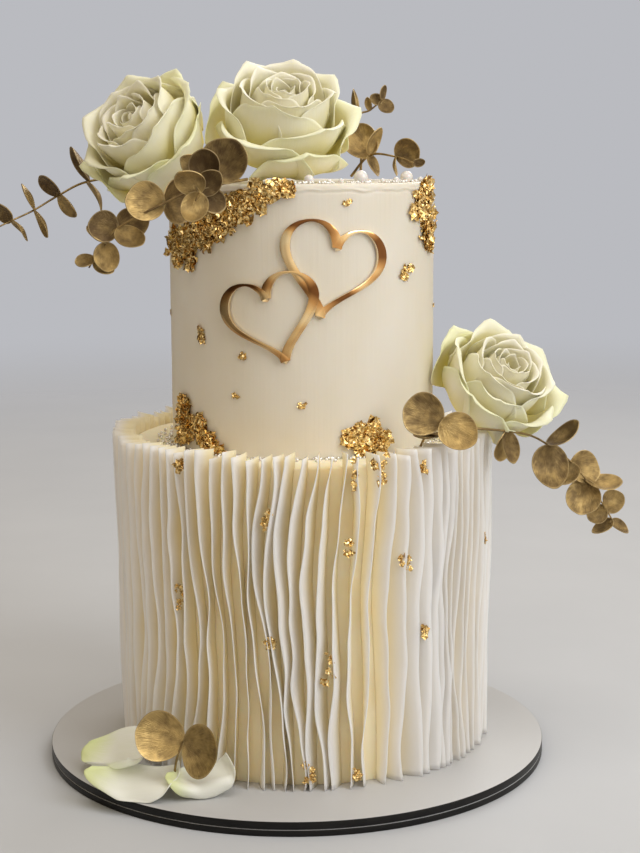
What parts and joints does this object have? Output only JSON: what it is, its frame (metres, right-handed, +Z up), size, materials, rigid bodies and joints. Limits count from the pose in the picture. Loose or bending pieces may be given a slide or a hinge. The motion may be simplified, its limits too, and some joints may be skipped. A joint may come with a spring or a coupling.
{
  "type": "tiered wedding cake",
  "caption": "Round tiered wedding cake on a board: smooth upper tier, lower tier wrapped in upright wavy paper strips, with roses, gold leaf sprigs and a gold ornament.",
  "frame": {"origin": "on the cake's axis at the underside of the board", "axes": "+Z up through the tiers, -Y towards the decorated front, +X to the right as seen from the front"},
  "size_m": [0.3839, 0.3, 0.4116],
  "materials": {
    "board_black": "dark board, matt cut edge",
    "board_white": "satin white covered board",
    "wafer_paper": "matt, thin and translucent wafer paper on cream icing",
    "buttercream": "ivory buttercream, scraped smooth, satin",
    "gold_mirror": "polished gold mirror sheet with bright cut edges",
    "gold_leaf": "crumpled edible gold leaf",
    "pearl": "pearly sugar beads",
    "rose_petal": "cream white petals, greenish yellow towards the base",
    "loose_petal": "pale greenish white petal, slightly translucent",
    "gold_leaves": "leaves sprayed antique gold, brushed sheen, darker backs"
  },
  "bodies": {
    "root": {"board_lower": "board_black", "board_upper": "board_white", "tier_lower": "wafer_paper", "tier_upper": "buttercream", "ornament_hearts": "gold_mirror", "rose_top_left": "rose_petal", "rose_top_middle": "rose_petal", "rose_right": "rose_petal", "sprig_far_left": "gold_leaves", "sprig_low_left": "gold_leaves", "sprig_rim": "gold_leaves", "sprig_top_right": "gold_leaves", "sprig_top_thin": "gold_leaves", "sprig_right": "gold_leaves", "leaf_pair_ledge": "gold_leaves", "leaf_pair_board": "gold_leaves", "petal_left": "loose_petal", "petal_front": "loose_petal", "petal_right": "loose_petal"}
  },
  "joints": []
}
